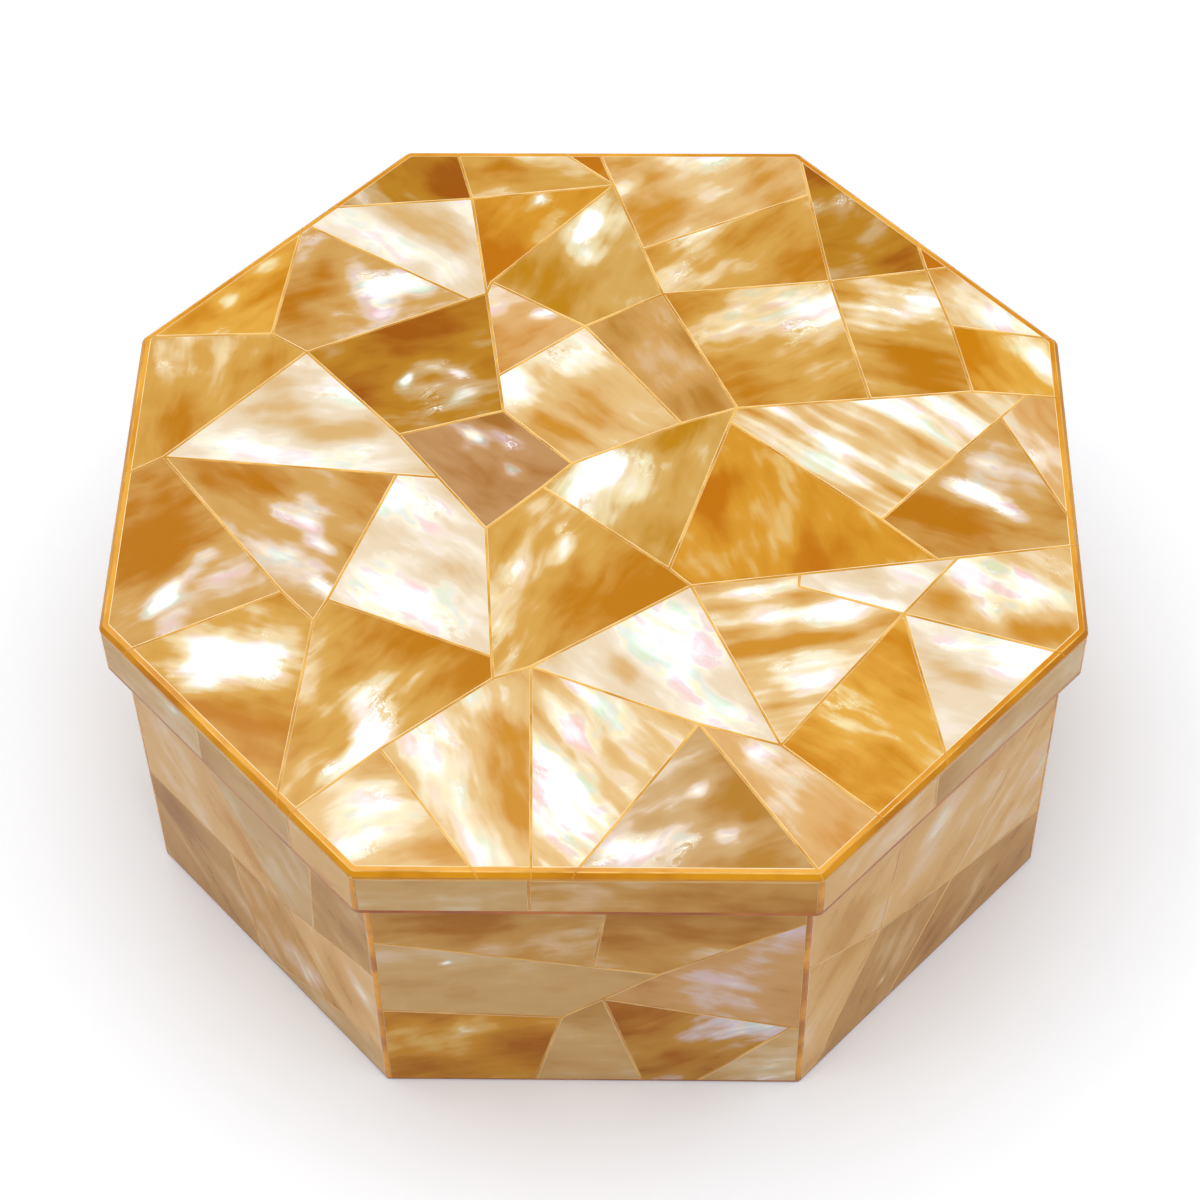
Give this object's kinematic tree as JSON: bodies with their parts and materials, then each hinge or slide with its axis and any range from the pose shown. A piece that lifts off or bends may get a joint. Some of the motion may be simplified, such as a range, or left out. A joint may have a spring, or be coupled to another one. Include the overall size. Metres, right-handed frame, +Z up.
{
  "type": "jewelry box",
  "caption": "Eight-sided jewelry box with a lift-off lid, hollow wooden body faced all over with flat mother-of-pearl pieces set in amber resin.",
  "frame": {"origin": "middle of the box's underside, on the surface that it stands on", "axes": "+Z up, the front face looks along -Y, +X to the right seen from the front"},
  "size_m": [0.2, 0.2, 0.083],
  "materials": {
    "shell_amber": "gloss",
    "shell_gold": "gloss",
    "shell_olive": "gloss",
    "shell_tan": "gloss",
    "shell_peach": "gloss",
    "shell_mauve": "gloss",
    "shell_pearl": "gloss",
    "shell_rim": "gloss",
    "shell_wall": "gloss",
    "wood": "satin"
  },
  "bodies": {
    "root": {"box_body": "wood", "shell_wall_left_back": "shell_wall", "shell_wall_left": "shell_wall", "shell_wall_left_front": "shell_wall", "shell_wall_front": "shell_wall", "shell_wall_right_front": "shell_wall", "shell_wall_right": "shell_wall", "shell_wall_right_back": "shell_wall", "shell_wall_back": "shell_wall", "lid_body": "wood", "shell_lid_rim": "shell_rim", "shell_lid_01": "shell_amber", "shell_lid_02": "shell_gold", "shell_lid_03": "shell_olive", "shell_lid_04": "shell_peach", "shell_lid_05": "shell_pearl", "shell_lid_06": "shell_amber", "shell_lid_07": "shell_olive", "shell_lid_08": "shell_gold", "shell_lid_09": "shell_tan", "shell_lid_10": "shell_tan", "shell_lid_11": "shell_peach", "shell_lid_12": "shell_amber", "shell_lid_13": "shell_gold", "shell_lid_14": "shell_pearl", "shell_lid_15": "shell_tan", "shell_lid_16": "shell_tan", "shell_lid_17": "shell_gold", "shell_lid_18": "shell_mauve", "shell_lid_19": "shell_olive", "shell_lid_20": "shell_amber", "shell_lid_21": "shell_peach", "shell_lid_22": "shell_olive", "shell_lid_23": "shell_tan", "shell_lid_24": "shell_pearl", "shell_lid_25": "shell_tan", "shell_lid_26": "shell_amber", "shell_lid_27": "shell_pearl", "shell_lid_28": "shell_gold", "shell_lid_29": "shell_amber", "shell_lid_30": "shell_pearl", "shell_lid_31": "shell_pearl", "shell_lid_32": "shell_gold", "shell_lid_33": "shell_peach", "shell_lid_34": "shell_pearl", "shell_lid_35": "shell_mauve", "shell_lid_36": "shell_gold", "shell_lid_37": "shell_peach", "shell_lid_38": "shell_amber", "shell_lid_39": "shell_pearl", "shell_lid_40": "shell_pearl", "shell_lid_41": "shell_peach", "shell_lid_42": "shell_amber", "shell_lid_43": "shell_olive", "shell_lid_44": "shell_amber", "shell_lid_45": "shell_tan"}
  },
  "joints": []
}
